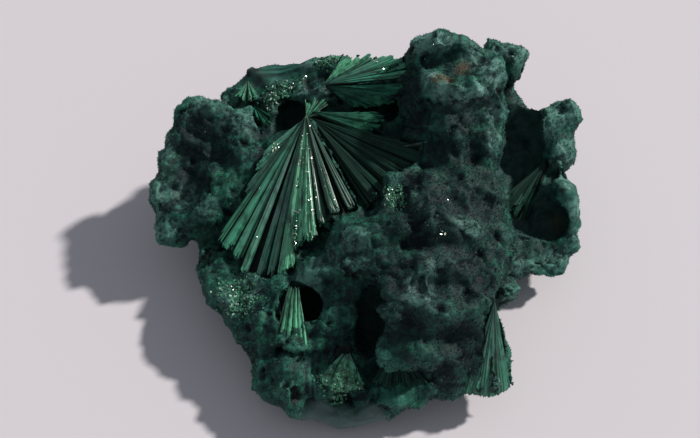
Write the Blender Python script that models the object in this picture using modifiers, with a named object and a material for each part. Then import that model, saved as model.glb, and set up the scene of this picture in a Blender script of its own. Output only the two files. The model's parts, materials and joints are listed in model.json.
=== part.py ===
"""Malachite: a grown cluster of green fibres, with radial sprays of blades on a lumpy velvet mass.

One solid. Lumps are joined into a mass, hollows are taken out of it, sprays of blades are grown
on it, and it is cut flat underneath where it broke from its rock. Units are metres, +Z is up, and
the origin is on the flat break. The front of the piece faces -Y.
"""

import bmesh
import bpy
import random
from mathutils import Matrix
from mathutils import Vector

for obj in list(bpy.data.objects):
    bpy.data.objects.remove(obj, do_unlink=True)

MM = 0.001

# Driving dimensions, in millimetres.
GRAIN = 0.5  # grain at which the lumps are joined
LUMP_STEP = 1.15  # distance between the lumps of a row, in radii
LUMP_UNEVEN = 0.12  # how much a lump's radius may differ from its row's
HOLLOW_STEP = 0.6  # distance between the balls that make a hollow, in radii
BALL_DETAIL = 3  # subdivisions of a lump or a hollow
KNOB_DETAIL = 2  # and of a small growth
KNOBS_PER_LUMP = 5  # small growths on each lump
KNOB_RADIUS = (0.55, 1.15)
KNOB_SEAT = 0.88  # where a knob's middle lies, as a share of its lump's radius
SWELLING = (3.2, 0.5)  # width and height of the broad roughness
NODULES = (1.3, 0.5)  # and of the fine roughness
SOFTENING = 2  # smoothing passes before the roughness
MASS_TRIANGLES = 4300  # facets kept on the mass
BLADE_NARROW = 0.22  # a blade's half width where it starts
BLADE_WIDE = 0.62  # and where it ends
BLADE_SEAT = 0.3  # how far a blade starts below its spray's apex
BLADE_LIFT = 0.3  # how far a blade's end may lie above or below its neighbours
BLADE_LEAN = 0.4  # how far a blade may roll, as a slope
BLADE_SLANT = (0.5, 1.4)  # slopes of a blade's end
ROCK = (70, 70, 20)  # the block that cuts the flat break

part = bpy.data.collections.new("malachite_cluster")
cutters = bpy.data.collections.new("cutters")
cutters.hide_render = True
for group in (part, cutters):
    bpy.context.scene.collection.children.link(group)
rng = random.Random(11)


def new_object(name, work, group):
    """Turns a bmesh in millimetres into an object in metres."""
    bmesh.ops.scale(work, vec=(MM, MM, MM), verts=work.verts)
    mesh = bpy.data.meshes.new(name)
    work.to_mesh(mesh)
    work.free()
    made = bpy.data.objects.new(name, mesh)
    group.objects.link(made)
    if group is cutters:
        made.hide_render = True
        made.display_type = "WIRE"
    return made


def apply_modifiers(made):
    """Replaces an object's mesh by what its modifiers make of it."""
    graph = bpy.context.evaluated_depsgraph_get()
    mesh = bpy.data.meshes.new_from_object(made.evaluated_get(graph))
    made.modifiers.clear()
    made.data = mesh


def remesh(made):
    """Joins everything that overlaps in one object into one skin."""
    step = made.modifiers.new("join", "REMESH")
    step.mode = "VOXEL"
    step.voxel_size = GRAIN * MM


def roughen(made, name, width, height):
    """Pushes the surface in and out by a fixed noise of this width."""
    texture = bpy.data.textures.new(name, "CLOUDS")
    texture.noise_scale = width * MM
    step = made.modifiers.new(name, "DISPLACE")
    step.texture = texture
    step.texture_coords = "GLOBAL"
    step.strength = height * MM


def combine(made, other, operation, crossing=False):
    """A Boolean between two solids. `crossing` is for a second solid whose pieces overlap."""
    step = made.modifiers.new(operation.lower(), "BOOLEAN")
    step.operation = operation
    step.use_self = crossing
    step.object = other
    apply_modifiers(made)


def fill_pockets(made):
    """Removes the inner skins of sealed pockets, so that only the outer skin is left."""
    work = bmesh.new()
    work.from_mesh(made.data)
    left = set(work.verts)
    skins = []
    while left:
        skin = {left.pop()}
        rim = list(skin)
        while rim:
            near = {edge.other_vert(vert) for vert in rim for edge in vert.link_edges} - skin
            skin |= near
            rim = list(near)
        left -= skin
        skins.append(skin)
    skins.sort(key=len)
    inner = [vert for skin in skins[:-1] for vert in skin]
    bmesh.ops.delete(work, geom=inner, context="VERTS")
    work.to_mesh(made.data)
    work.free()


def ball(work, centre, radii, detail=BALL_DETAIL):
    """An ellipsoid."""
    place = Matrix.Translation(centre) @ Matrix.Diagonal((*radii, 1))
    bmesh.ops.create_icosphere(work, subdivisions=detail, radius=1, matrix=place)


def places(points, step):
    """Evenly spaced places along a path, with both its ends."""
    points = [Vector(point) for point in points]
    found = [points[0]]
    for start, end in zip(points, points[1:]):
        count = max(1, round((end - start).length / step))
        found += [start.lerp(end, k / count) for k in range(1, count + 1)]
    return found


def lumps(work, radius, *points):
    """A row of uneven lumps along a path, each with small growths all over it."""
    for centre in places(points, radius * LUMP_STEP):
        size = radius * rng.uniform(1 - LUMP_UNEVEN, 1 + LUMP_UNEVEN)
        ball(work, centre, (size, size, size))
        for _ in range(KNOBS_PER_LUMP):
            way = Vector([rng.gauss(0, 1) for _ in range(3)]).normalized()
            knob = rng.uniform(*KNOB_RADIUS)
            ball(work, centre + way * size * KNOB_SEAT, (knob, knob, knob), KNOB_DETAIL)


def channel(work, radius, *points):
    """A smooth hollow along a path."""
    for centre in places(points, radius * HOLLOW_STEP):
        ball(work, centre, (radius, radius, radius))


# The mass, in millimetres.
work = bmesh.new()
# The body inside, as ellipsoids that the rows of lumps cover.
ball(work, (-3, -2, 4), (12, 12, 7))
ball(work, (6, 2, 6), (10, 10, 9))
ball(work, (-8, 6, 5), (9, 9, 6))
ball(work, (15, 12, 6), (6, 5, 5))
ball(work, (-8, 15, 8), (7, 5, 5))
# The slope that the large spray lies on.
ball(work, (-8, 9, 9.5), (5, 5, 4.5))
ball(work, (-13.5, 3.5, 4), (5, 4, 4))
ball(work, (-7, 5.5, 7), (6, 6, 5))
ball(work, (-3.5, 7, 8.5), (6, 7, 4.5))
ball(work, (1, 9.5, 10), (6, 5, 3.5))
ball(work, (0, 15.5, 11), (5.5, 4, 4.5))
# The boulder at the left: its body, its rim from the back to the spray, and its outer edge.
ball(work, (-17.5, 9, 8), (5, 6, 4.5))
lumps(work, 2.4, (-18.2, 12.6, 12.7), (-13, 10.8, 12.8), (-12.5, 7, 11))
lumps(work, 2.4, (-19.2, 9.8, 11.3), (-20.6, 5, 8.5), (-20.2, 2.5, 6.2))
lumps(work, 2.4, (-16.5, 3.5, 8.5), (-14.5, 5, 9.5))
# The knob at the back left, then the upper ridge and the ledge under it.
lumps(work, 1.8, (-11.9, 18, 12.4))
lumps(work, 2, (-14, 15.5, 12), (-11.5, 15, 11))
lumps(work, 1.4, (-10, 18.1, 12), (-7, 18.4, 13), (-2.5, 18.4, 14.2))
lumps(work, 1.2, (-9.5, 15.8, 12.3), (-5, 15.2, 13))
# The tall block: its column, its two top knobs, the ring round its pitted top, and its flank.
ball(work, (9.5, 11.5, 13), (5.5, 5.5, 8))
ball(work, (6, 12.3, 12.3), (3.4, 4.2, 7.3))
lumps(work, 1.8, (5.6, 14.4, 17), (6.1, 14.8, 20.3), (9.3, 14.5, 20.5))
lumps(work, 2, (7, 9.8, 20), (10.2, 9.4, 20.5), (12.3, 11, 19.5), (12, 13.5, 19))
lumps(work, 2.2, (12.7, 9.4, 17), (12, 7, 15))
lumps(work, 2.2, (8.5, 7, 17), (5.5, 8, 15))
# The two knobs and the ledge behind it at the right.
lumps(work, 1.6, (14, 18.5, 13.5), (14.1, 18.7, 14.7), (14.2, 18.9, 15.9))
lumps(work, 1.5, (15.8, 18.2, 12.7), (16.6, 19, 15.2))
lumps(work, 1.7, (15.8, 16.4, 10.5), (17.6, 14.6, 9))
# The lump at the far right.
lumps(work, 2, (21.8, 14, 10.8), (19.8, 13.2, 10.4), (21.4, 11, 8.8))
# The wing that curls round the hollow at the right.
ball(work, (18, 4.5, 3.8), (4.5, 5, 3))
ball(work, (18.5, 8.5, 6), (3.5, 3, 4))
lumps(work, 1.4, (20.3, 7.4, 8.4), (21.3, 4, 7), (22, 1.2, 5), (20, -0.5, 3.8), (16.5, -1.1, 3.8))
lumps(work, 2, (14.4, -0.9, 6))
# The front mass, row under row.
lumps(work, 2, (5.5, 4.6, 13.4), (8.5, 4, 14), (11.6, 4.2, 12.8))
lumps(work, 2.3, (3, 1.7, 13.9), (6, 0.7, 15.4), (9.5, 1.2, 14.4), (12, 1.7, 12.4))
lumps(work, 2.3, (-1.5, -3, 12), (3.5, -3.2, 13.6), (6.5, -3, 14.6), (12, -2.8, 12))
lumps(work, 2.4, (-4.5, -4.8, 9.5), (1.5, -6.4, 12.2), (8, -6.3, 12.5), (11, -5.5, 10.8))
lumps(work, 2.4, (3, -10, 11.5), (6, -10.8, 12), (10, -9.5, 10))
lumps(work, 2.4, (2.3, -13.2, 8.5), (5, -13.4, 9), (8.4, -12.8, 6.8))
lumps(work, 2.2, (2.2, -15.6, 3.5), (6, -14.8, 4.6), (8.4, -14.4, 4))
lumps(work, 2.2, (-3, -8.6, 8), (-3.5, -11.5, 6))
lumps(work, 1.2, (14, -5.5, 5), (14, -5.6, 7.5))
ball(work, (11.3, -11.2, 5.5), (2.8, 2.8, 4))
# The lower left and the foot.
lumps(work, 2.3, (-16, -1.5, 5.4), (-14.1, -5.3, 5.4), (-10.7, -9.4, 5.5), (-9.4, -13, 4.5))
lumps(work, 2.4, (-9.5, -9, 6.5), (-7.5, -12, 6), (-7.5, -14.8, 4.5))
lumps(work, 2.2, (-4.5, -13.8, 4), (-2, -13.8, 4))
lumps(work, 2.1, (-9, -14.5, 3.5), (-6.5, -15.8, 3))
ball(work, (-2, -15.9, 2), (4.4, 2.5, 2))
# The back.
lumps(work, 2.6, (-17, 13, 8), (-11, 17, 8), (-5.5, 17.6, 9))
lumps(work, 2.6, (8, 16, 10.5), (11, 15.5, 7.5))
lumps(work, 2.8, (-12, 13, 3.5), (-3, 14, 3), (6, 13, 3), (14, 9, 3.5))
mass = new_object("malachite", work, part)
remesh(mass)
apply_modifiers(mass)

# The hollows between the lumps. The ones at the front run in and down, along the way they are seen.
work = bmesh.new()
channel(work, 2.4, (-18.5, 6.3, 13.2), (-19.2, 3.2, 11.4))
channel(work, 1.7, (-10, 11.5, 13), (-7.5, 12.3, 12.5), (-8, 14, 10.5))
channel(work, 0.8, (-10, 17.2, 12.8), (-5, 16.7, 13.2))
channel(work, 1.6, (3.6, 12.6, 14), (3.7, 11.5, 11.5))
channel(work, 2.2, (17, 12.8, 10.8), (17, 9.5, 8.8), (16.2, 5, 8))
channel(work, 1.2, (19, 7.5, 9.5), (20.3, 8, 8.5))
channel(work, 2.2, (16.6, 3.6, 7.6), (19.4, 3.2, 6.4))
channel(work, 1.2, (-15, 14.6, 14), (-11.8, 13, 12))
channel(work, 1.9, (-6.6, -8.2, 8.6), (-5, -7.4, 6.8), (-5.2, -5.5, 4))
channel(work, 1.7, (0.5, -9.2, 11), (0.4, -12.3, 7.5), (0.4, -9.5, 5), (0.4, -7.5, 8))
channel(work, 0.8, (-5.2, -11.2, 7), (-5.2, -12.8, 5.6))
channel(work, 0.8, (-5.5, -4, 11), (-2.5, -3.6, 11.6))
channel(work, 1.1, (6.2, 12.4, 20.8), (9.8, 12.6, 21.4))
channel(work, 1.1, (8.6, 10.9, 21.6))
channel(work, 0.9, (3.2, -0.2, 15.4))
channel(work, 0.9, (7.2, -5.2, 14.9))
hollows = new_object("hollows", work, cutters)
remesh(hollows)
apply_modifiers(hollows)
combine(mass, hollows, "DIFFERENCE")
remesh(mass)
step = mass.modifiers.new("soften", "SMOOTH")
step.iterations = SOFTENING
roughen(mass, "swelling", *SWELLING)
roughen(mass, "nodules", *NODULES)
apply_modifiers(mass)
mass.data.calc_loop_triangles()
step = mass.modifiers.new("facets", "DECIMATE")
step.ratio = MASS_TRIANGLES / len(mass.data.loop_triangles)
apply_modifiers(mass)


def blade(work, start, end, out, depth, slant):
    """A flat-faced blade, wider at its end than its start, with a slanted end. `out` is its upper side."""
    along = (end - start).normalized()
    across = along.cross(out).normalized()
    up = across.cross(along).normalized()
    turn = Matrix((across, up, along)).transposed().to_4x4()
    place = Matrix.Translation((start + end) / 2) @ turn @ Matrix.Diagonal((1, depth, 1, 1))
    made = bmesh.ops.create_cone(
        work,
        cap_ends=True,
        segments=4,
        radius1=BLADE_NARROW,
        radius2=BLADE_WIDE,
        depth=(end - start).length,
        matrix=place,
    )
    for vert in made["verts"]:
        if (vert.co - end).length < (vert.co - start).length:
            vert.co += along * slant * (vert.co - end).dot(across)


def spray(work, apex, out, depth, ends, per_bundle=2, spread=1.1, uneven=0.12):
    """Bundles of blades from one point, one bundle to each end point."""
    apex = Vector(apex)
    out = Vector(out).normalized()
    for end in ends:
        reach = Vector(end) - apex
        side = reach.cross(out).normalized()
        for k in range(per_bundle):
            off = (k + 0.5) / per_bundle - 0.5
            start = apex + side * off * BLADE_WIDE - out * BLADE_SEAT
            tip = apex + reach * (1 - rng.uniform(0, uneven)) + side * off * spread
            tip += out * rng.uniform(-BLADE_LIFT, BLADE_LIFT)
            lean = out + side * rng.uniform(-BLADE_LEAN, BLADE_LEAN)
            slant = rng.choice((-1, 1)) * rng.uniform(*BLADE_SLANT)
            blade(work, start, tip, lean, depth, slant)


# The sprays of blades: where each starts, which way its upper side faces, how deep its blades are
# against their width, and where its bundles end.
work = bmesh.new()
# The large spray, down to the front left, and its shaded part that goes on to the right.
large = [(-14.9, -1.2, 7.9), (-13.9, -1.7, 7.9), (-12.9, -4.6, 7.1), (-11.4, -5.2, 7.2)]
large += [(-9.8, -5.8, 7.6), (-8.1, -5.4, 8.6), (-6.6, -3.5, 11), (-5.3, -3, 12)]
large += [(-4.4, -1.9, 12.5), (-3.3, -1.6, 13), (-2.1, -1.3, 13), (-0.8, -1.1, 13.3)]
spray(work, (-6.05, 9.65, 15.85), (-0.25, -0.35, 0.9), 1.3, large)
shaded = [(0.8, 0.3, 12.8), (2.4, 1.5, 13.3), (4, 3, 13.8), (5.5, 4.6, 14), (6, 6.3, 14.3)]
spray(work, (-5.5, 9.8, 15.2), (0, -0.35, 0.9), 1.3, shaded, per_bundle=1)
# The spray at the back, to the right, its lower part, and the short one under it.
back = [(-1.9, 16.2, 17.4), (-0.2, 16.1, 17.7), (1.8, 15.7, 17.9), (4.6, 15.2, 18.1), (5.2, 14, 17.4)]
spray(work, (-4.2, 13.3, 16.6), (-0.2, -0.1, 0.95), 1.6, back)
lower = [(5, 13.4, 16.4), (4.2, 12.7, 15.3), (2.6, 12.6, 14.6), (0.8, 12.5, 14.1), (-1, 12.5, 14.1)]
spray(work, (-4, 13.3, 16.3), (0, -0.5, 0.85), 1.6, lower, per_bundle=1)
short = [(2, 10.2, 14.9), (2.4, 9, 14.7), (1.6, 7.8, 14)]
spray(work, (-5.6, 10.4, 15.6), (0, -0.3, 0.95), 2, short, per_bundle=1)
# The upright spray at the lower right corner, and two short ones at the front.
corner = [(9.5, -15, 4.2), (11, -15.4, 4), (12.4, -15.2, 3.8), (13.6, -14.4, 3.8), (14, -12.3, 4)]
spray(work, (12, -9.4, 11), (0.4, -0.8, 0.4), 2.4, corner, uneven=0.06)
spray(work, (-7, -8.2, 9), (-0.2, -0.8, 0.5), 2, [(-8, -12, 6.6), (-6.7, -12.4, 6.4)], per_bundle=1)
cleft = [(-4.3, -15.8, 5.2), (-2.6, -16.4, 5), (-0.9, -16, 5.2)]
spray(work, (-1.8, -12.4, 7.8), (0, -0.8, 0.6), 2, cleft, per_bundle=1)
# The spray on the inner side of the wing.
inner = [(14.4, 4.6, 7.2), (15.6, 4, 6.4), (16.9, 3.8, 5.6)]
spray(work, (19.6, 9.4, 8.6), (-0.6, -0.2, 0.75), 1.3, inner, per_bundle=1, uneven=0.2)
# A spray down the back.
behind = [(-4, 19.8, 6.2), (-2, 20.3, 5.4), (0, 20.5, 5), (2, 20.2, 5), (4, 19.6, 5.4), (5.8, 18.6, 6.2)]
spray(work, (1, 18.4, 14.6), (0, 0.95, 0.25), 2, behind, per_bundle=1, uneven=0.15)
blades = new_object("blades", work, cutters)
combine(mass, blades, "UNION", crossing=True)

# The flat break underneath.
work = bmesh.new()
place = Matrix.Translation((0, 0, -ROCK[2] / 2)) @ Matrix.Diagonal((*ROCK, 1))
bmesh.ops.create_cube(work, size=1, matrix=place)
rock = new_object("rock", work, cutters)
combine(mass, rock, "DIFFERENCE")
fill_pockets(mass)

stone = bpy.data.materials.new("malachite")
stone.use_nodes = True
shader = stone.node_tree.nodes["Principled BSDF"]
shader.inputs["Base Color"].default_value = (0.016, 0.075, 0.05, 1)
shader.inputs["Roughness"].default_value = 0.6
mass.data.materials.clear()
mass.data.materials.append(stone)
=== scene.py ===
"""A malachite specimen: velvety dark green lumps grown together with radial sprays of silky blades.

The stone is one grown piece. Its skin carries the relief of the lumps, and the blades, the needles
of the velvet and the crystal faces grow on that skin. Points and sizes in lists are in millimetres,
in the frame of the solid.
"""

import json
import math
import random

import bmesh
import bpy
import numpy as np
from mathutils import Matrix, Vector
from mathutils.bvhtree import BVHTree

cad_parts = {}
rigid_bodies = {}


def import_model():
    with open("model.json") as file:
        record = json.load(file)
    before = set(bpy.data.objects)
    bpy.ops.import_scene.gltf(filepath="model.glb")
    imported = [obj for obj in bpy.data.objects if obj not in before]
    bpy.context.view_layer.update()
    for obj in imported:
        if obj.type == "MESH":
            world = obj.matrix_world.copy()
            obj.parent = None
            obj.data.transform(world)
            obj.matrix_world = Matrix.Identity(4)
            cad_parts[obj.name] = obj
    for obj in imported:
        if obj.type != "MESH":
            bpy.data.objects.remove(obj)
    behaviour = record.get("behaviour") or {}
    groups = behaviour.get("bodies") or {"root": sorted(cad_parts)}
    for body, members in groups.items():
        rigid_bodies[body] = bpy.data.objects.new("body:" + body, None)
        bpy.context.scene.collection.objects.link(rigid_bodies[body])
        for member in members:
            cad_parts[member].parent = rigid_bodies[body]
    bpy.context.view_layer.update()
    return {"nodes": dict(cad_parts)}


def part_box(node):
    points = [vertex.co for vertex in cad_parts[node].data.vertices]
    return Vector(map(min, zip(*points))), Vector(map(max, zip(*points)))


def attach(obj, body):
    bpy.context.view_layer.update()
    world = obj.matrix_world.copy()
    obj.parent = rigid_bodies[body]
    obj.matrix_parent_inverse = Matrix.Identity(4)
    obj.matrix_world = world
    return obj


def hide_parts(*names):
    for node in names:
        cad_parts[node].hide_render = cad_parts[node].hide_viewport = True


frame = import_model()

MM = 0.001

# The view of the photograph.
# The camera stands straight in front and looks down at 55 degrees from about ten centimetres, close
# enough for the tall block to look larger than the foot.
view = bpy.data.cameras.new("view")
view.sensor_width = 36
view.lens = 47.37
view.clip_start = 0.005
camera = bpy.data.objects.new("view", view)
camera.location = (-0.0016, -0.0529, 0.0868)
camera.rotation_euler = (math.radians(35), 0, 0)
bpy.context.scene.collection.objects.link(camera)
bpy.context.scene.camera = camera


# The skin of the lumps.
# Fibres of malachite too fine to see end in round lumps, and the lumps carry smaller lumps, grains
# and pits. It grew as one mass, and broke flat from its rock underneath.
SKIN_GRAIN = 0.22  # voxel of the skin
SKIN_SOFTEN = 4  # smoothing passes that take the solid's facets away
SKIN_FLOW = 160  # passes that make the smooth form against which hollows and bulges are told
SKIN_TRIANGLES = 186000  # faces kept where the relief needs them most
SAME_POINT = 0.002  # corners of the solid nearer than this are one
MOST_BULGE = 1.5  # the deepest hollow or highest bulge that is told
SPRAY_CLEARANCE = 2.0  # how near to a spray the skin gives way to blades
SPRAY_EDGE = 0.4  # how far past its sides
SPRAY_SINK = 0.6  # and how far below the spray it then lies
SPRAY_COVERED = 0.92  # share of the blades that it leaves bare, before it closes over their ends

# The sprays: each starts at its apex, faces its upper side, and ends along a row of points.
SPRAYS = {
    "large_spray": {
        "apex": (-6.05, 9.65, 15.85),
        "up": (-0.25, -0.35, 0.9),
        "ends": [
            (-14.9, -1.2, 7.9), (-13.9, -1.7, 7.9), (-12.9, -4.6, 7.1), (-11.4, -5.2, 7.2),
            (-9.8, -5.8, 7.6), (-8.1, -5.4, 8.6), (-6.6, -3.5, 11), (-5.3, -3, 12),
            (-4.4, -1.9, 12.5), (-3.3, -1.6, 13), (-2.1, -1.3, 13), (-0.8, -1.1, 13.3),
        ],
    },
    "shaded_spray": {
        "apex": (-5.5, 9.8, 15.2),
        "up": (0, -0.35, 0.9),
        "ends": [(0.8, 0.3, 12.8), (2.4, 1.5, 13.3), (4, 3, 13.8), (5.5, 4.6, 14), (6, 6.3, 14.3)],
    },
    "back_spray": {
        "apex": (-4.2, 13.3, 16.6),
        "up": (-0.2, -0.1, 0.95),
        "ends": [
            (-1.9, 16.2, 17.4), (-0.2, 16.1, 17.7), (1.8, 15.7, 17.9), (4.6, 15.2, 18.1),
            (5.2, 14, 17.4),
        ],
    },
    "lower_spray": {
        "apex": (-4, 13.3, 16.3),
        "up": (0, -0.5, 0.85),
        "ends": [
            (5, 13.4, 16.4), (4.2, 12.7, 15.3), (2.6, 12.6, 14.6), (0.8, 12.5, 14.1), (-1, 12.5, 14.1),
        ],
    },
    "short_spray": {
        "apex": (-5.6, 10.4, 15.6),
        "up": (0, -0.3, 0.95),
        "ends": [(2, 10.2, 14.9), (2.4, 9, 14.7), (1.6, 7.8, 14)],
    },
    "corner_spray": {
        "apex": (12, -9.4, 11),
        "up": (0.4, -0.8, 0.4),
        "ends": [
            (9.5, -15, 4.2), (11, -15.4, 4), (12.4, -15.2, 3.8), (13.6, -14.4, 3.8), (14, -12.3, 4),
        ],
    },
    "front_spray": {
        "apex": (-7, -8.2, 9),
        "up": (-0.2, -0.8, 0.5),
        "ends": [(-8.3, -12, 6.6), (-7.2, -12.3, 6.5), (-6.1, -12.4, 6.4)],
    },
    "cleft_spray": {
        "apex": (-1.8, -12.4, 7.8),
        "up": (0, -0.8, 0.6),
        "ends": [(-4.3, -15.8, 5.2), (-2.6, -16.4, 5), (-0.9, -16, 5.2)],
    },
    "wing_spray": {
        "apex": (19.6, 9.4, 8.6),
        "up": (-0.6, -0.2, 0.75),
        "ends": [(14.4, 4.6, 7.2), (15.6, 4, 6.4), (16.9, 3.8, 5.6)],
    },
    "rear_spray": {
        "apex": (1, 18.4, 14.6),
        "up": (0, 0.95, 0.25),
        "ends": [
            (-4, 19.8, 6.2), (-2, 20.3, 5.4), (0, 20.5, 5), (2, 20.2, 5), (4, 19.6, 5.4),
            (5.8, 18.6, 6.2),
        ],
    },
}

# Places on the skin, each a radius, a strength and the points it lies round: paler, darker, the insides
# of hollows, stained by rust, greyer at the foot, and of low relief. The paler and darker places are
# partly painted light and painted shade, and the insides of hollows are painted lighter as painted fill
# light.
# Paler: partly dust, partly painted light where the sun falls on rims and tops.
PALE_AND_SUNLIT = [
    (2.4, 0.55, [(-16.8, 12.8, 15.1), (-14, 13.6, 13.4), (-12.4, 10.6, 14.6)]),
    (2.2, 0.55, [(-21.7, 8.4, 11.9), (-21.7, 4.1, 10.7), (-21.9, 1.8, 7.6)]),
    (1.8, 0.5, [(-16.4, 1.9, 10.2), (-18.9, 4.4, 9.4), (-19.7, 0.5, 7.7)]),
    (1.5, 0.5, [(-10.2, 14.3, 12.7), (-9.2, 16.2, 13.9)]),
    (1.6, 0.6, [(-5.9, 18.3, 15.1), (-6.9, 14.7, 14.3), (-5, 14.3, 14.4)]),
    (2.0, 1.0, [(5.4, 14.8, 21.7), (7.3, 13.6, 22.4)]),
    (1.5, 1.0, [(6, 9.7, 21.8), (7.1, 8, 21.2), (9.1, 7.8, 20.6), (11, 8.2, 20.9)]),
    (1.5, 0.9, [(13, 9.8, 20.9), (12.2, 11.8, 21.4), (10.4, 13.2, 20.9)]),
    (1.5, 0.7, [(13, 7.9, 18), (12.8, 6.1, 16.3), (12.5, 5.4, 12.3)]),
    (1.8, 0.7, [(14.9, 17.9, 17), (16.9, 18.3, 15.9)]),
    (2.2, 0.75, [(21, 13.6, 12.3), (22.5, 13.8, 12.9), (19.3, 11.7, 11.3), (21.5, 9.6, 9.6)]),
    (1.7, 0.6, [(20.8, 6, 9.8), (22.4, 3.4, 8.1), (22.7, 1.5, 6.1)]),
    (1.8, 0.7, [(20.4, -0.9, 5.4), (16.6, -2, 5.3), (14, -6.6, 7.6)]),
    (1.9, 1.1, [(2.6, -0.5, 17.6), (3.6, -1.2, 17)]),
    (2.0, 0.5, [(9.6, -3.2, 16.6), (10.8, -4.2, 16.2), (-1.4, -4.6, 14.2), (-1.4, -6.4, 14.1)]),
    (2.2, 0.4, [(-4.7, -5.8, 12.4), (-6, -6.7, 10.4), (4.8, -9.8, 14), (6.7, -7.4, 15.4)]),
    (2.2, 0.5, [(-13.6, -7.2, 8), (-11.9, -6.3, 8.1)]),
    (1.6, 0.9, [(-2.3, -14.9, 6.6), (-3, -15.3, 5.8), (11.8, -15.4, 5.7)]),
]
# Darker: partly a darker tone of the stone, partly painted shade on faces turned from the sun.
DARK_AND_SHADED = [
    (3.4, 0.95, [(8.5, 5.5, 16), (5.5, 8, 15), (4.5, 11.5, 17), (9, 6.5, 18)]),
    (7.0, 0.95, [(6, -2, 16), (8, -7, 13), (10, 0, 14), (4, -9, 11), (8, -12, 8)]),
    (3.3, 0.95, [(-17.3, 7.4, 11.5), (-18.2, 8.8, 13), (-17, 9.8, 13.5), (-18.3, 5.6, 11)]),
    (3.0, 0.9, [(17, 11, 9), (16.5, 5, 7.5), (18.5, 3.4, 6.5), (16.5, 14, 11)]),
    (1.3, 0.9, [(8.5, 11.4, 21), (10, 10.4, 21.2)]),
    (2.5, 0.8, [(-9.5, 11.5, 12), (-7.5, 12.5, 12), (-2, 11.5, 13)]),
    (2.5, 0.7, [(2.2, -12, 9.5), (1.5, -9.5, 11)]),
    (2.4, 0.75, [(-9.3, 18.3, 13.6), (-11.9, 17.4, 13.8), (-6.4, 18.3, 14.8)]),
]
# The insides of hollows, painted lighter in the colour: painted fill light.
HOLLOWS_PAINTED_LIGHTER = [
    (3.2, 1.0, [(-6.3, -4.5, 3), (-6.6, -7.4, 5.9), (-5.3, -4.5, 2.8)]),
    (3.2, 1.0, [(0.4, -7.8, 4.6), (0.6, -8.9, 3.5), (-0.1, -6.7, 6.7), (0.2, -11, 4.3)]),
    (4.0, 0.8, [(17.2, 13.6, 9), (16.7, 11.8, 7.7), (15.9, 7.3, 6.3), (15.4, 10.3, 7.8)]),
    (3.5, 0.8, [(17.7, 5.5, 6.9), (16.6, 2.6, 5.6), (19.9, 4.7, 5.3), (18.4, 3.8, 4.7)]),
    (3.0, 1.0, [(-8.6, 15.4, 10.3), (-8, 12.5, 11), (3.7, 11.5, 12)]),
]
RUST = [
    (1.0, 1.0, [(6.9, 9.4, 21.8), (7.7, 9.2, 22)]),
    (0.9, 0.8, [(9.6, 12.2, 20.6)]),
    (0.9, 0.5, [(16.8, 4.5, 5.6), (20.6, 4, 5)]),
]
FOOT = [(2.6, 1.3, [(-4.5, -17.2, 2.2), (-2.1, -17.9, 1.8), (0.3, -17.4, 2)])]
CALM = [
    (2.3, 0.6, [(-4.5, -17.2, 2.2), (-2.1, -17.9, 1.8), (0.3, -17.4, 2)]),
    (2.0, 0.9, [(-9.3, 18.3, 13.6), (-11.9, 17.4, 13.8)]),
    (2.0, 0.8, [(21.2, 5.4, 9.2), (22.4, 3.4, 8.1)]),
    (1.8, 0.6, [(-4.7, -5.8, 12.4), (-6, -6.7, 10.4)]),
]
# Places where the fibres show as parallel lines: also the way they run, and the side they are seen on.
FIBRES = [
    (2.6, 1.0, (1, 0.1, 0.25), (0, -0.3, 1), [(-9.3, 18.3, 13.6), (-6, 18.3, 14.8), (-2.5, 18.3, 16)]),
    (2.2, 0.8, (0.1, -0.2, 1), (0, -1, 0.3), [(14, 18, 15), (16.6, 18, 14.5), (9.5, 15, 21.5)]),
    (2.4, 0.7, (-0.3, -0.3, 0.9), (0.2, -1, 0.4), [(21.5, 11.5, 10), (21.8, 13, 12)]),
    (2.4, 0.9, (-0.45, -0.6, 0.2), (-0.4, -0.3, 0.9), [(18.4, 8.2, 8), (16.8, 6.6, 7), (15.6, 5, 6.5)]),
    (2.2, 0.8, (0.1, -0.7, -0.6), (0, -0.7, 0.7), [(2, -15.5, 6), (4, -16.2, 5), (0.6, -14.6, 6.6)]),
    (1.8, 0.8, (0, -0.7, -0.7), (0, -0.7, 0.7), [(-5, -14.6, 6.4), (-4.6, -15.6, 5.4)]),
]


def colour(code):
    """A colour written as sRGB hex, as the linear one that a shader takes."""
    parts = [int(code[k : k + 2], 16) / 255 for k in (1, 3, 5)]
    return (*[p / 12.92 if p <= 0.04045 else ((p + 0.055) / 1.055) ** 2.4 for p in parts], 1)


def add(tree, kind, inputs=(), **settings):
    """Adds a node with its settings, and sets or links its inputs, which are named or in order."""
    made = tree.nodes.new(kind)
    for name, value in settings.items():
        setattr(made, name, value)
    sockets = [s for s in made.inputs if s.enabled]
    pairs = inputs.items() if isinstance(inputs, dict) else enumerate(inputs)
    for name, value in pairs:
        socket = sockets[name] if isinstance(name, int) else next(s for s in sockets if s.name == name)
        if isinstance(value, bpy.types.Node):
            value = next(s for s in value.outputs if s.enabled)
        if isinstance(value, str) and value.startswith("#"):
            value = colour(value)
        if isinstance(value, bpy.types.NodeSocket):
            tree.links.new(value, socket)
        else:
            socket.default_value = value
    return made


def new_tree(name, **inputs):
    """An empty Geometry Nodes tree with these inputs, and its input node."""
    tree = bpy.data.node_groups.new(name, "GeometryNodeTree")
    tree.interface.new_socket("Geometry", in_out="INPUT", socket_type="NodeSocketGeometry")
    tree.interface.new_socket("Geometry", in_out="OUTPUT", socket_type="NodeSocketGeometry")
    for label, kind in inputs.items():
        tree.interface.new_socket(label, in_out="INPUT", socket_type="NodeSocket" + kind)
    return tree, tree.nodes.new("NodeGroupInput").outputs


def grow(obj, tree, **values):
    """Replaces an object's mesh by what the tree makes of it."""
    step = obj.modifiers.new(tree.name, "NODES")
    step.node_group = tree
    for item in tree.interface.items_tree:
        if item.in_out == "INPUT" and item.name in values:
            step[item.identifier] = values[item.name]
    settle(obj)


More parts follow.
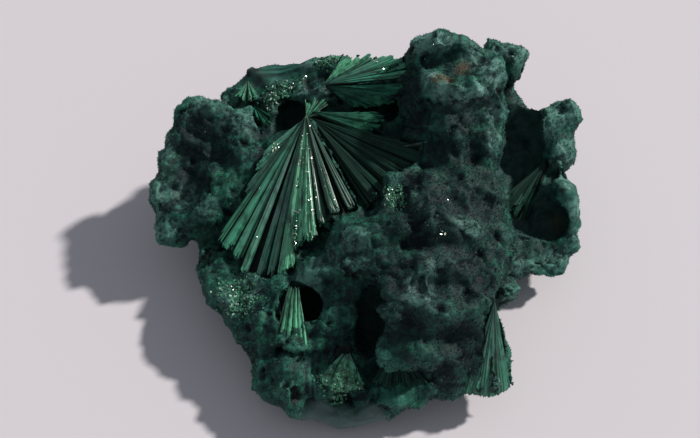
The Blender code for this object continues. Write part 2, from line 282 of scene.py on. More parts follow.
def settle(obj):
    """Makes what an object's modifiers give its plain mesh, and keeps it within the solid's box."""
    graph = bpy.context.evaluated_depsgraph_get()
    mesh = bpy.data.meshes.new_from_object(obj.evaluated_get(graph))
    obj.modifiers.clear()
    obj.data = mesh
    low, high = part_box("malachite")
    at = np.clip(points_of(mesh), np.array(low), np.array(high)).astype(np.float32)
    mesh.vertices.foreach_set("co", at.ravel())
    mesh.update()


def points_of(mesh):
    """The vertices of a mesh, as rows of three numbers."""
    at = np.empty(len(mesh.vertices) * 3, np.float32)
    mesh.vertices.foreach_get("co", at)
    return at.reshape(-1, 3)


def new_piece(name, mesh):
    piece = bpy.data.objects.new(name, mesh)
    bpy.context.scene.collection.objects.link(piece)
    return piece


def mark(mesh, name, values):
    """Stores one number for each vertex under this name."""
    kept = mesh.attributes.get(name) or mesh.attributes.new(name, "FLOAT", "POINT")
    kept.data.foreach_set("value", np.asarray(values, np.float32))


def nearness(at, radius, centres):
    """How near each point is to the nearest of these centres: 1 there, and 0 from the radius on."""
    gaps = [np.linalg.norm(at - np.array(centre) * MM, axis=1) for centre in centres]
    return np.clip(1 - (np.min(gaps, axis=0) / (radius * MM)) ** 2, 0, 1)


node = frame["nodes"]["malachite"]
work = bmesh.new()
work.from_mesh(node.data)
bmesh.ops.remove_doubles(work, verts=work.verts, dist=SAME_POINT * MM)
mesh = bpy.data.meshes.new("velvet_skin")
work.to_mesh(mesh)
work.free()
for layer in list(mesh.uv_layers):
    mesh.uv_layers.remove(layer)
skin = new_piece("velvet_skin", mesh)
step = skin.modifiers.new("one_skin", "REMESH")
step.mode = "VOXEL"
step.voxel_size = SKIN_GRAIN * MM
step = skin.modifiers.new("soften", "SMOOTH")
step.factor = 0.6
step.iterations = SKIN_SOFTEN
settle(skin)

# Where the sprays lie, the skin sinks under their blades.
corners = []
sides = []
ups = []
for spray in SPRAYS.values():
    ends = spray["ends"]
    for first, second in zip(ends, ends[1:]):
        sides.append((len(corners), len(corners) + 1, len(corners) + 2))
        apex = Vector(spray["apex"])
        corners += [apex * MM, *(apex.lerp(Vector(end), SPRAY_COVERED) * MM for end in (first, second))]
        ups.append(Vector(spray["up"]).normalized())
sheets = BVHTree.FromPolygons(corners, sides)
at = points_of(skin.data)
under = np.zeros(len(at))
for k, point in enumerate(at):
    point = Vector(point)
    spot, _, face, _ = sheets.find_nearest(point, SPRAY_CLEARANCE * MM)
    if spot is None:
        continue
    height = (point - spot).dot(ups[face])
    aside = (point - spot - ups[face] * height).length / (SPRAY_EDGE * MM)
    under[k] = max(0, 1 - aside * aside)
    if height > -SPRAY_SINK * MM:
        at[k] = point - ups[face] * (height + SPRAY_SINK * MM) * under[k]
skin.data.vertices.foreach_set("co", at.ravel())
skin.data.update()
# How far each point lies under a spray, for the relief, the pile and painted shade in the colour.
mark(skin.data, "under_spray", under)
for name, places in (
    ("pale", PALE_AND_SUNLIT), ("dark", DARK_AND_SHADED), ("deep", HOLLOWS_PAINTED_LIGHTER), ("rust", RUST), ("foot", FOOT), ("calm", CALM)
):
    shares = [strength * nearness(at, radius, centres) for radius, strength, centres in places]
    mark(skin.data, name, np.clip(np.max(shares, axis=0), 0, 1))
lined = np.zeros(len(at))
line_at = np.zeros(len(at))
for radius, strength, along, up, centres in FIBRES:
    share = strength * nearness(at, radius, centres)
    across = Vector(along).cross(Vector(up)).normalized()
    line_at = np.where(share > lined, at @ np.array(across) / MM, line_at)
    lined = np.maximum(lined, share)
mark(skin.data, "lined", lined)
mark(skin.data, "line_at", line_at)

edges = np.empty(len(skin.data.edges) * 2, np.int32)
skin.data.edges.foreach_get("vertices", edges)
edges = edges.reshape(-1, 2)
counts = np.bincount(edges.ravel(), minlength=len(at)).reshape(-1, 1)
outward = np.empty(len(at) * 3, np.float32)
skin.data.vertices.foreach_get("normal", outward)
flowing = at.astype(float)
for _ in range(SKIN_FLOW):
    total = np.zeros_like(flowing)
    for axis in range(3):
        total[:, axis] += np.bincount(edges[:, 0], flowing[edges[:, 1], axis], len(at))
        total[:, axis] += np.bincount(edges[:, 1], flowing[edges[:, 0], axis], len(at))
    flowing = total / counts
# How far each point stands out from the smooth form: the colour uses it for painted light on bulges and
# painted shade in hollows.
bulge = np.einsum("ij,ij->i", at - flowing, outward.reshape(-1, 3)) / MM
mark(skin.data, "bulge", np.clip(bulge, -MOST_BULGE, MOST_BULGE))

relief, given = new_tree(
    "relief_of_the_skin",
    Lump_width="Float",
    Lump_height="Float",
    Grain_width="Float",
    Grain_height="Float",
    Pit_width="Float",
    Pit_depth="Float",
    Line_width="Float",
    Line_height="Float",
    Hollowing="Float",
)
place = add(relief, "GeometryNodeInputPosition")
held = {
    name: add(relief, "GeometryNodeInputNamedAttribute", {"Name": name}, data_type="FLOAT")
    for name in ("calm", "under_spray", "bulge", "lined", "line_at")
}
# Round bumps: one in each cell, highest at the cell's middle.
bumps = {}
for size in ("Lump", "Grain"):
    per_metre = add(relief, "ShaderNodeMath", (1.0, given[size + "_width"]), operation="DIVIDE")
    wander = add(relief, "ShaderNodeTexNoise", {"Vector": place, "Scale": per_metre}).outputs["Color"]
    shift = add(relief, "ShaderNodeVectorMath", (wander, (0.5, 0.5, 0.5)), operation="SUBTRACT")
    shift = add(relief, "ShaderNodeVectorMath", (shift, given[size + "_width"]), operation="SCALE")
    moved = add(relief, "ShaderNodeVectorMath", (place, shift), operation="ADD")
    cells = add(relief, "ShaderNodeTexVoronoi", {"Vector": moved, "Scale": per_metre})
    square = add(relief, "ShaderNodeMath", (cells, cells), operation="MULTIPLY")
    bumps[size] = add(relief, "ShaderNodeMath", (1.0, square), operation="SUBTRACT", use_clamp=True)
per_metre = add(relief, "ShaderNodeMath", (1.0, given["Pit_width"]), operation="DIVIDE")
cloud = add(relief, "ShaderNodeTexNoise", {"Vector": place, "Scale": per_metre, "Detail": 3.0})
pits = add(
    relief, "ShaderNodeMapRange",
    {"Value": cloud, "From Min": 0.52, "From Max": 0.75, "To Min": 0.0, "To Max": 1.0},
    interpolation_type="SMOOTHSTEP",
)
# Ridges along the fibres: a noise of the one number that changes across them.
per_line = add(relief, "ShaderNodeMath", (1.0, given["Line_width"]), operation="DIVIDE")
ridges = add(
    relief, "ShaderNodeTexNoise", {"W": held["line_at"], "Scale": per_line}, noise_dimensions="1D"
)
ridges = add(relief, "ShaderNodeMath", (ridges, 0.7), operation="SUBTRACT")
ridges = add(relief, "ShaderNodeMath", (ridges, held["lined"]), operation="MULTIPLY")
# The drop below the solid's surface: all but the tops of the highest bumps lies lower than it.
drop = add(relief, "ShaderNodeMath", (bumps["Lump"], 1.0), operation="SUBTRACT")
drop = add(relief, "ShaderNodeMath", (drop, given["Lump_height"]), operation="MULTIPLY")
fine = add(relief, "ShaderNodeMath", (bumps["Grain"], 1.0), operation="SUBTRACT")
drop = add(relief, "ShaderNodeMath", (fine, given["Grain_height"], drop), operation="MULTIPLY_ADD")
hole = add(relief, "ShaderNodeMath", (pits, given["Pit_depth"]), operation="MULTIPLY")
drop = add(relief, "ShaderNodeMath", (drop, hole), operation="SUBTRACT")
inward = add(relief, "ShaderNodeMath", (held["bulge"], 0.0), operation="MINIMUM")
drop = add(relief, "ShaderNodeMath", (inward, given["Hollowing"], drop), operation="MULTIPLY_ADD")
quiet = add(relief, "ShaderNodeMath", (held["calm"], held["under_spray"]), operation="MAXIMUM")
loud = add(relief, "ShaderNodeMath", (1.0, quiet), operation="SUBTRACT", use_clamp=True)
drop = add(relief, "ShaderNodeMath", (drop, loud), operation="MULTIPLY")
smooth = add(relief, "ShaderNodeMath", (held["lined"], -0.8, 1.0), operation="MULTIPLY_ADD")
drop = add(relief, "ShaderNodeMath", (drop, smooth), operation="MULTIPLY")
drop = add(relief, "ShaderNodeMath", (ridges, given["Line_height"], drop), operation="MULTIPLY_ADD")
normal = add(relief, "GeometryNodeInputNormal")
offset = add(relief, "ShaderNodeVectorMath", (normal, drop), operation="SCALE")
# How high a point lies in the relief is kept for the colour, which paints shade into the low points
# and, partly, light onto the high ones.
rise = add(relief, "ShaderNodeMath", (bumps["Lump"], 0.45), operation="MULTIPLY")
rise = add(relief, "ShaderNodeMath", (bumps["Grain"], 0.55, rise), operation="MULTIPLY_ADD")
rise = add(relief, "ShaderNodeMath", (rise, pits), operation="SUBTRACT", use_clamp=True)
kept = add(
    relief, "GeometryNodeStoreNamedAttribute",
    {"Geometry": given["Geometry"], "Name": "rise", "Value": rise}, data_type="FLOAT", domain="POINT",
)
shaped = add(relief, "GeometryNodeSetPosition", {"Geometry": kept, "Offset": offset})
add(relief, "NodeGroupOutput", {"Geometry": shaped})
grow(
    skin, relief,
    Lump_width=1.9 * MM, Lump_height=0.75 * MM, Grain_width=0.6 * MM, Grain_height=0.22 * MM,
    Pit_width=1.9 * MM, Pit_depth=0.6 * MM, Line_width=0.7, Line_height=0.5 * MM, Hollowing=0.3 * MM,
)
skin.data.calc_loop_triangles()
step = skin.modifiers.new("fewer_faces", "DECIMATE")
step.ratio = SKIN_TRIANGLES / len(skin.data.loop_triangles)
settle(skin)
skin.data.shade_smooth()


def new_material(name):
    material = bpy.data.materials.new(name)
    material.use_nodes = True
    return material, material.node_tree, material.node_tree.nodes["Principled BSDF"]


def paint(tree, ground, sources, layers):
    """Colours laid one over another. Each lies where a source is between two numbers, to a share of
    its own, and where it names a second source, within that."""
    for source, low, high, within, share, over in layers:
        amount = add(
            tree, "ShaderNodeMapRange",
            {
                "Value": sources[source], "From Min": low, "From Max": high, "To Min": 0.0,
                "To Max": share,
            },
            interpolation_type="SMOOTHSTEP",
        )
        if within:
            amount = add(tree, "ShaderNodeMath", (amount, sources[within]), operation="MULTIPLY")
        ground = add(
            tree, "ShaderNodeMix", {"Factor": amount, "A": ground, "B": over}, data_type="RGBA"
        )
    return next(s for s in ground.outputs if s.enabled)


# Velvet malachite: the colour is paler where it is dusty, and follows the relief, with painted light on
# the high points and bulges and painted shade in the pits, in hollows and under the sprays. The insides
# of deep hollows are painted lighter as painted fill light. Its patches are 3 mm wide and its froth 0.8
# mm.
# Its specks, at 0.35 mm, are coarser than real ones.
VELVET_LAYERS = [
    ("patches", 0.42, 0.62, None, 1.0, "#164036"),
    # Paler froth on the high points and on bulges: partly dust, partly painted light.
    ("froth", 0.45, 0.64, "rise", 1.0, "#2b735b"),
    ("bulge", 0.1, 0.9, "froth", 0.9, "#3b7969"),
    # Darker in the pits between lumps and in hollows: painted shade.
    ("rise", 0.55, 0.1, None, 0.95, "#071213"),
    ("bulge", 0.0, -0.9, None, 0.5, "#13272c"),
    # Darker places: partly a darker tone, partly painted shade.
    ("dark", 0.0, 1.0, None, 0.8, "#0c1c20"),
    # The insides of deep hollows, painted lighter: painted fill light.
    ("deep", 0.0, 0.6, "froth", 1.6, "#2c4a45"),
    # Darker under the sprays: painted shade.
    ("under_spray", 0.1, 0.6, None, 0.85, "#07120f"),
    # Pale dusty lumps and specks, partly painted light where the sun falls on rims and tops.
    ("froth", 0.36, 0.6, "pale", 1.0, "#6f9a90"),
    ("specks", 0.62, 0.72, "pale", 0.6, "#a9c4ba"),
    ("lines", 0.42, 0.62, "lined", 0.7, "#2f6f60"),
    ("lines", 0.48, 0.3, "lined", 0.8, "#081413"),
    ("foot", 0.0, 1.0, None, 0.9, "#586c6b"),
    ("specks", 0.3, 0.52, "rust", 0.9, "#62503c"),
]


def velvet_colour(tree):
    where = add(tree, "ShaderNodeTexCoord").outputs["Object"]
    sources = {
        name: add(tree, "ShaderNodeAttribute", attribute_name=name).outputs["Fac"]
        for name in (
            "rise", "bulge", "pale", "dark", "deep", "rust", "foot", "lined", "line_at", "under_spray"
        )
    }
    for name, width, detail in (("patches", 3, 5), ("froth", 0.8, 5), ("specks", 0.35, 2)):
        sources[name] = add(
            tree, "ShaderNodeTexNoise",
            {"Vector": where, "Scale": 1 / (width * MM), "Detail": detail, "Roughness": 0.65},
        )
    sources["lines"] = add(
        tree, "ShaderNodeTexNoise", {"W": sources["line_at"], "Scale": 2.2, "Detail": 3.0},
        noise_dimensions="1D",
    )
    return paint(tree, colour("#0b2225"), sources, VELVET_LAYERS)


velvet, tree, shader = new_material("velvet_malachite")
tree.links.new(velvet_colour(tree), shader.inputs["Base Color"])
shader.inputs["Roughness"].default_value = 0.65
shader.inputs["IOR"].default_value = 1.65
shader.inputs["Specular IOR Level"].default_value = 0.15
where = add(tree, "ShaderNodeTexCoord").outputs["Object"]
fuzz = add(tree, "ShaderNodeTexNoise", {"Vector": where, "Scale": 1 / (0.12 * MM), "Detail": 2.0})
bump = add(tree, "ShaderNodeBump", {"Strength": 0.6, "Distance": 0.05 * MM, "Height": fuzz})
tree.links.new(bump.outputs["Normal"], shader.inputs["Normal"])
skin.data.materials.clear()
skin.data.materials.append(velvet)
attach(skin, "root")
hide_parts("malachite")


# The sprays of silky blades.
# Each spray is a fan of long malachite crystals that grew out from one point, side by side in
# bundles. Their flat sides shine like silk, and gaps run between the bundles, darkened in the colour
# as painted shade.
BLADE_SECTION = [
    (-0.5, 0), (-0.4, 0.26), (-0.15, 0.42), (0.15, 0.42), (0.4, 0.26), (0.5, 0), (0.3, -0.42),
    (-0.3, -0.42),
]
BLADE_RINGS = [(0, 0.28), (0.3, 0.5), (0.62, 0.78), (0.9, 1.0), (1.0, 0.9)]
BLADE_SHAPES = 4
GOLDEN_SHARE = 0.6180339  # steps of this share spread any number of blades evenly
SEED_STEP = 20  # between the seeds of two random numbers of one tree
rng = random.Random(5)
blades = bpy.data.collections.new("blade_shapes")
for _ in range(BLADE_SHAPES):
    work = bmesh.new()
    slant = rng.uniform(-0.035, 0.035)
    twist = rng.uniform(-0.5, 0.5)
    sway = rng.uniform(-0.8, 0.8)
    rings = []
    for along, width in BLADE_RINGS:
        turn = Matrix.Rotation(twist * along, 3, "Z")
        ring = []
        for x, y in BLADE_SECTION:
            size = width * rng.uniform(0.9, 1.05)
            point = turn @ Vector((x * size, y * size, 0))
            point.x += sway * math.sin(along * math.pi) * 0.4
            point.z = along + (slant * x * 2 if along > 0.8 else 0)
            ring.append(work.verts.new(point))
        rings.append(ring)
    for low, high in zip(rings, rings[1:]):
        for j in range(len(low)):
            n = (j + 1) % len(low)
            work.faces.new((low[j], low[n], high[n], high[j]))
    work.faces.new(rings[0][::-1])
    work.faces.new(rings[-1])
    bmesh.ops.recalc_face_normals(work, faces=work.faces)
    mesh = bpy.data.meshes.new("blade_shape")
    work.to_mesh(mesh)
    work.free()
    mark(mesh, "along", [v.co.z for v in mesh.vertices])
    blades.objects.link(bpy.data.objects.new("blade_shape", mesh))
bpy.context.scene.collection.children.link(blades)

fan, given = new_tree(
    "spray_of_blades",
    Shapes="Collection",
    Count="Int",
    Bundles="Float",
    Pull="Float",
    Head="Float",
    Apex="Vector",
    Up="Vector",
    Narrow="Float",
    Wide="Float",
    Lift="Float",
    Depth="Float",
    Crown="Float",
    Uneven="Float",
    Fray="Float",
    Roll="Float",
    Seed="Int",
    Finish="Material",
)
row = add(fan, "GeometryNodePoints", {"Count": given["Count"]})
index = add(fan, "GeometryNodeInputIndex")
spread = add(fan, "ShaderNodeMath", (index, GOLDEN_SHARE), operation="MULTIPLY")
spread = add(fan, "ShaderNodeMath", (spread,), operation="FRACT")
phase = add(fan, "ShaderNodeMath", (spread, given["Bundles"]), operation="MULTIPLY")
wobble = add(fan, "ShaderNodeTexNoise", {"W": phase, "Scale": 0.9}, noise_dimensions="1D")
phase = add(fan, "ShaderNodeMath", (wobble, 1.6, phase), operation="MULTIPLY_ADD")
bundle = add(fan, "ShaderNodeMath", (phase,), operation="FLOOR")
across = add(fan, "ShaderNodeMath", (phase,), operation="FRACT")
across = add(fan, "ShaderNodeMath", (across, 2.0, -1.0), operation="MULTIPLY_ADD")
edge = add(fan, "ShaderNodeMath", (across, across), operation="MULTIPLY")
edge = add(fan, "ShaderNodeMath", (edge, edge), operation="MULTIPLY")
# Each bundle draws together, which opens the gaps beside it.
pull = add(fan, "ShaderNodeMath", (given["Pull"], given["Bundles"]), operation="DIVIDE")
pull = add(fan, "ShaderNodeMath", (across, pull), operation="MULTIPLY")
drawn = add(fan, "ShaderNodeMath", (spread, pull), operation="SUBTRACT", use_clamp=True)
rim = add(fan, "GeometryNodeMeshToCurve", {"Mesh": given["Geometry"]})
end = add(
    fan, "GeometryNodeSampleCurve", {"Curves": rim, "Factor": drawn}, mode="FACTOR", use_all_curves=True
).outputs["Position"]
# Random numbers, each with a seed of its own, for each blade or for each bundle.
lots = {}
for number, (name, low, high, shared) in enumerate(
    (
        ("deep", 0, 1, False), ("tier", -0.5, 0.5, True), ("head", 0, 0.16, False),
        ("short", 0, 1, True), ("frayed", 0, 1, False), ("stray", -0.6, 0.6, False),
        ("roll", -1, 1, True), ("own_roll", -0.6, 0.6, False), ("girth", 0, 1, False),
        ("stout", 0.7, 1.3, False), ("tone", 0, 1, False), ("bundle_tone", 0, 1, True),
    )
):
    seed = add(fan, "ShaderNodeMath", (given["Seed"], float(number * SEED_STEP)), operation="ADD")
    inputs = {"Min": float(low), "Max": float(high), "Seed": seed}
    if shared:
        inputs["ID"] = bundle
    lots[name] = add(fan, "FunctionNodeRandomValue", inputs, data_type="FLOAT")
reach = add(fan, "ShaderNodeVectorMath", (end, given["Apex"]), operation="SUBTRACT")
way = add(fan, "ShaderNodeVectorMath", (reach,), operation="NORMALIZE")
side = add(fan, "ShaderNodeVectorMath", (way, given["Up"]), operation="CROSS_PRODUCT")
side = add(fan, "ShaderNodeVectorMath", (side,), operation="NORMALIZE")
up = add(fan, "ShaderNodeVectorMath", (side, way), operation="CROSS_PRODUCT")
# How high a blade lies: its bundle's level, lower at the bundle's edges, and its own layer.
deep = add(fan, "ShaderNodeMath", (lots["deep"], lots["deep"]), operation="MULTIPLY")
level = add(fan, "ShaderNodeMath", (deep, given["Depth"]), operation="MULTIPLY")
level = add(fan, "ShaderNodeMath", (given["Lift"], level), operation="SUBTRACT")
fall = add(fan, "ShaderNodeMath", (lots["tier"], edge), operation="SUBTRACT")
level = add(fan, "ShaderNodeMath", (fall, given["Crown"], level), operation="MULTIPLY_ADD")
# The apex end of each blade is a little way out, and lies lower than the other.
head = add(fan, "ShaderNodeMath", (lots["head"], given["Head"]), operation="ADD")
start = add(fan, "ShaderNodeVectorMath", (reach, head), operation="SCALE")
start = add(fan, "ShaderNodeVectorMath", (start, given["Apex"]), operation="ADD")
low = add(fan, "ShaderNodeMath", (level, 0.25), operation="MULTIPLY")
low = add(fan, "ShaderNodeVectorMath", (up, low), operation="SCALE")
start = add(fan, "ShaderNodeVectorMath", (start, low), operation="ADD")
# The other end falls short by bundles and by blades, and some stray to a side.
short = add(fan, "ShaderNodeMath", (lots["short"], given["Uneven"]), operation="MULTIPLY")
short = add(fan, "ShaderNodeMath", (lots["frayed"], given["Fray"], short), operation="MULTIPLY_ADD")
share = add(fan, "ShaderNodeMath", (1.04, short), operation="SUBTRACT")
tip = add(fan, "ShaderNodeVectorMath", (reach, share), operation="SCALE")
tip = add(fan, "ShaderNodeVectorMath", (tip, given["Apex"]), operation="ADD")
high = add(fan, "ShaderNodeVectorMath", (up, level), operation="SCALE")
tip = add(fan, "ShaderNodeVectorMath", (tip, high), operation="ADD")
stray = add(fan, "ShaderNodeMath", (lots["stray"], given["Wide"]), operation="MULTIPLY")
stray = add(fan, "ShaderNodeVectorMath", (side, stray), operation="SCALE")
tip = add(fan, "ShaderNodeVectorMath", (tip, stray), operation="ADD")
line = add(fan, "ShaderNodeVectorMath", (tip, start), operation="SUBTRACT")
long = add(fan, "ShaderNodeVectorMath", (line,), operation="LENGTH")
roll = add(fan, "ShaderNodeMath", (lots["roll"], lots["own_roll"]), operation="ADD")
roll = add(fan, "ShaderNodeMath", (roll, given["Roll"]), operation="MULTIPLY")
lean = add(fan, "ShaderNodeVectorMath", (side, roll), operation="SCALE")
lean = add(fan, "ShaderNodeVectorMath", (up, lean), operation="ADD")
turn = add(fan, "FunctionNodeAxesToRotation", (line, lean), primary_axis="Z", secondary_axis="Y")
girth = add(fan, "ShaderNodeMath", (lots["girth"], lots["girth"]), operation="MULTIPLY")
girth = add(
    fan, "ShaderNodeMapRange",
    {
        "Value": girth, "From Min": 0.0, "From Max": 1.0, "To Min": given["Narrow"],
        "To Max": given["Wide"],
    },
)
thick = add(fan, "ShaderNodeMath", (girth, lots["stout"]), operation="MULTIPLY")
size = add(fan, "ShaderNodeCombineXYZ", (girth, thick, long))
seats = add(fan, "GeometryNodeSetPosition", {"Geometry": row, "Position": start})
shapes = add(
    fan, "GeometryNodeCollectionInfo",
    {"Collection": given["Shapes"], "Separate Children": True, "Reset Children": True},
)
which = add(fan, "FunctionNodeRandomValue", {"Min": 0, "Max": BLADE_SHAPES - 1}, data_type="INT")
laid = add(
    fan, "GeometryNodeInstanceOnPoints",
    {
        "Points": seats, "Instance": shapes, "Pick Instance": True, "Instance Index": which,
        "Rotation": turn, "Scale": size,
    },
)
# Each blade keeps its own tone and its bundle's, for the colour, and how low it lies and how near
# its bundle's edge, for painted shade, and where it lies across the spray.
for name, value in (
    ("tone", lots["tone"]), ("bundle_tone", lots["bundle_tone"]), ("buried", deep), ("gap", edge),
    ("across", spread),
):
    laid = add(
        fan, "GeometryNodeStoreNamedAttribute", {"Geometry": laid, "Name": name, "Value": value},
        data_type="FLOAT", domain="INSTANCE",
    )
whole = add(fan, "GeometryNodeRealizeInstances", {"Geometry": laid})
whole = add(fan, "GeometryNodeSetMaterial", {"Geometry": whole, "Material": given["Finish"]})
add(fan, "NodeGroupOutput", {"Geometry": whole})

# Fibrous malachite on its long faces: silky, with each bundle a green of its own, and greyer where
# dusty. The shaded copy, less glossy, is for sprays in shade: painted shade. The streaks along the
# blades are a tenth of a millimetre wide, the finest that the view shows.
STREAKS_ACROSS = 110.0  # scale of the streaks from one side of a spray to the other
STREAKS_ALONG = 7.0  # and from one end of a blade to the other
finishes = {}
for name, gleam, smoothest in (("silky_malachite", 0.4, 0.3), ("dull_malachite", 0.1, 0.5)):
    finishes[name], tree, shader = new_material(name)
    sources = {
        name: add(tree, "ShaderNodeAttribute", attribute_name=name).outputs["Fac"]
        for name in (
            "along", "tone", "bundle_tone", "buried", "gap", "across", "glow", "dust_and_sheen", "dim", "shade"
        )
    }
    fine = add(tree, "ShaderNodeMath", (sources["across"], STREAKS_ACROSS), operation="MULTIPLY")
    slow = add(tree, "ShaderNodeMath", (sources["along"], STREAKS_ALONG), operation="MULTIPLY")
    lane = add(tree, "ShaderNodeCombineXYZ", (fine, slow, sources["tone"]))
    sources["streaks"] = add(tree, "ShaderNodeTexNoise", {"Vector": lane, "Scale": 1.0, "Detail": 3.0})
    where = add(tree, "ShaderNodeTexCoord").outputs["Object"]
    sources["patches"] = add(
        tree, "ShaderNodeTexNoise", {"Vector": where, "Scale": 1 / (1.2 * MM), "Detail": 4.0}
    )
    green = paint(
        tree, colour("#164636"), sources,
        [
            ("tone", 0.1, 1.0, None, 1.0, "#3f9f80"),
            ("bundle_tone", 0.5, 1.0, None, 0.6, "#4a8c74"),
            ("along", 0.45, 1.0, None, 0.5, "#47b187"),
            # Greyer dusty streaks; on the large spray partly a painted reflection of the sky.
            ("streaks", 0.4, 0.65, "dust_and_sheen", 1.0, "#5f857b"),
            # Painted highlight: brighter streaks where a spray faces the sun.
            ("streaks", 0.25, 0.55, "glow", 1.0, "#62bd90"),
            ("bundle_tone", 0.4, 0.0, None, 0.7, "#0d3326"),
            ("streaks", 0.52, 0.3, None, 0.75, "#0b2a20"),
            ("patches", 0.5, 0.66, None, 0.55, "#0f3029"),
            ("along", 0.35, 0.0, None, 0.6, "#0f2f27"),
            # Painted shade in the gaps between bundles and on the blades that lie lowest.
            ("gap", 0.25, 0.9, None, 0.8, "#06120f"),
            ("buried", 0.1, 0.8, None, 0.9, "#081a15"),
            # Painted shade over a whole spray that lies in shade.
            ("shade", 0.0, 1.0, None, 0.9, "#07201b"),
            # Painted shade on the side of the large spray that lies in the tall block's shadow.
            ("dim", 0.0, 1.0, None, 0.8, "#0b3429"),
        ],
    )
    tree.links.new(green, shader.inputs["Base Color"])
    gloss = add(
        tree, "ShaderNodeMapRange", {"Value": sources["tone"], "To Min": 0.6, "To Max": smoothest}
    )
    tree.links.new(gloss.outputs[0], shader.inputs["Roughness"])
    shader.inputs["IOR"].default_value = 1.75
    shader.inputs["Specular IOR Level"].default_value = gleam
    grooves = add(
        tree, "ShaderNodeBump", {"Strength": 0.5, "Distance": 0.06 * MM, "Height": sources["streaks"]}
    )
    tree.links.new(grooves.outputs["Normal"], shader.inputs["Normal"])

# Each spray's blades: how many, in how many bundles, and how wide. Its painted highlight, its dusty
# streak (on the large spray partly a painted reflection of the sky) and its painted shade lie at a
# share of the way across it, and a spray in shade is painted darker all over.
FAN_SIZES = {
    "large_spray": {
        "Count": 2050, "Bundles": 12.0, "Seed": 1, "glow": (1.0, 0.62, 0.22),
        "dust_and_sheen": (1.0, 0.3, 0.25), "dim": (1.0, 1.0, 0.3), "Uneven": 0.14, "Pull": 0.5, "Roll": 0.7,
        "Crown": 0.9 * MM, "Wide": 0.38 * MM,
    },
    "shaded_spray": {"Count": 480, "Bundles": 7.0, "Seed": 2, "shade": 1.0, "Pull": 0.3},
    "back_spray": {
        "Count": 500, "Bundles": 8.0, "Seed": 3, "glow": (1.0, 0.1, 0.35), "dust_and_sheen": (0.9, 0.3, 0.4),
        "Wide": 0.34 * MM, "Uneven": 0.1, "Pull": 0.3,
    },
    "lower_spray": {"Count": 360, "Bundles": 6.0, "Seed": 10, "shade": 0.35, "Wide": 0.34 * MM},
    "short_spray": {
        "Count": 220, "Bundles": 5.0, "Seed": 4, "shade": 0.55, "Uneven": 0.3, "Fray": 0.2,
        "Wide": 0.34 * MM,
    },
    "corner_spray": {
        "Count": 700, "Bundles": 9.0, "Seed": 5, "shade": 0.15, "dust_and_sheen": (0.6, 0.4, 0.6),
        "Crown": 0.2 * MM, "Wide": 0.26 * MM, "Uneven": 0.02, "Fray": 0.02, "Depth": 0.4 * MM,
        "Roll": 0.2, "Pull": 0.05,
    },
    "front_spray": {
        "Count": 180, "Bundles": 4.0, "Seed": 6, "glow": (0.9, 0.5, 0.8), "Wide": 0.36 * MM,
        "Head": 0.35, "Narrow": 0.14 * MM, "Uneven": 0.2, "Pull": 0.06,
        "Apex": (-6.9 * MM, -4.1 * MM, 11.5 * MM),
    },
    "cleft_spray": {
        "Count": 90, "Bundles": 4.0, "Seed": 7, "glow": (0.9, 0.6, 0.5), "Wide": 0.9 * MM, "Head": 0.15,
        "Narrow": 0.3 * MM, "Uneven": 0.35, "Roll": 0.9,
    },
    "wing_spray": {
        "Count": 180, "Bundles": 3.0, "Seed": 8, "shade": 0.9, "Wide": 0.34 * MM, "Roll": 0.2,
        "Fray": 0.3,
    },
    "rear_spray": {
        "Count": 500, "Bundles": 9.0, "Seed": 9, "shade": 0.2, "Uneven": 0.3, "Fray": 0.15, "Pull": 0.3,
    },
    "edge_tuft": {
        "Count": 220, "Bundles": 4.0, "Seed": 15, "Wide": 0.3 * MM, "Uneven": 0.25, "Fray": 0.1,
        "dust_and_sheen": (0.9, 0.5, 0.8), "Pull": 0.2,
    },
    "apex_tuft": {
        "Count": 60, "Bundles": 4.0, "Seed": 11, "Wide": 0.16 * MM, "Narrow": 0.06 * MM, "Uneven": 0.5,
        "glow": (0.5, 0.5, 1.0),
    },
    "knob_tuft": {
        "Count": 110, "Bundles": 4.0, "Seed": 12, "Wide": 0.18 * MM, "Narrow": 0.08 * MM, "Uneven": 0.5,
        "Fray": 0.2, "glow": (0.3, 0.4, 0.8), "shade": 0.2,
    },
    "hollow_tuft": {
        "Count": 90, "Bundles": 4.0, "Seed": 13, "Wide": 0.16 * MM, "Narrow": 0.08 * MM, "Uneven": 0.5,
        "Fray": 0.2, "shade": 0.4,
    },
    "foot_tuft": {
        "Count": 180, "Bundles": 7.0, "Seed": 16, "Wide": 0.3 * MM, "Fray": 0.15, "Uneven": 0.15,
        "Head": 0.2, "shade": 0.9, "Pull": 0.08,
    },
    "pale_needle": {
        "Count": 5, "Bundles": 1.0, "Seed": 14, "Wide": 0.25 * MM, "dust_and_sheen": (1.0, 0.5, 1.0),
    },
}
grown = [skin]  # what the grains and the clean faces may sit on
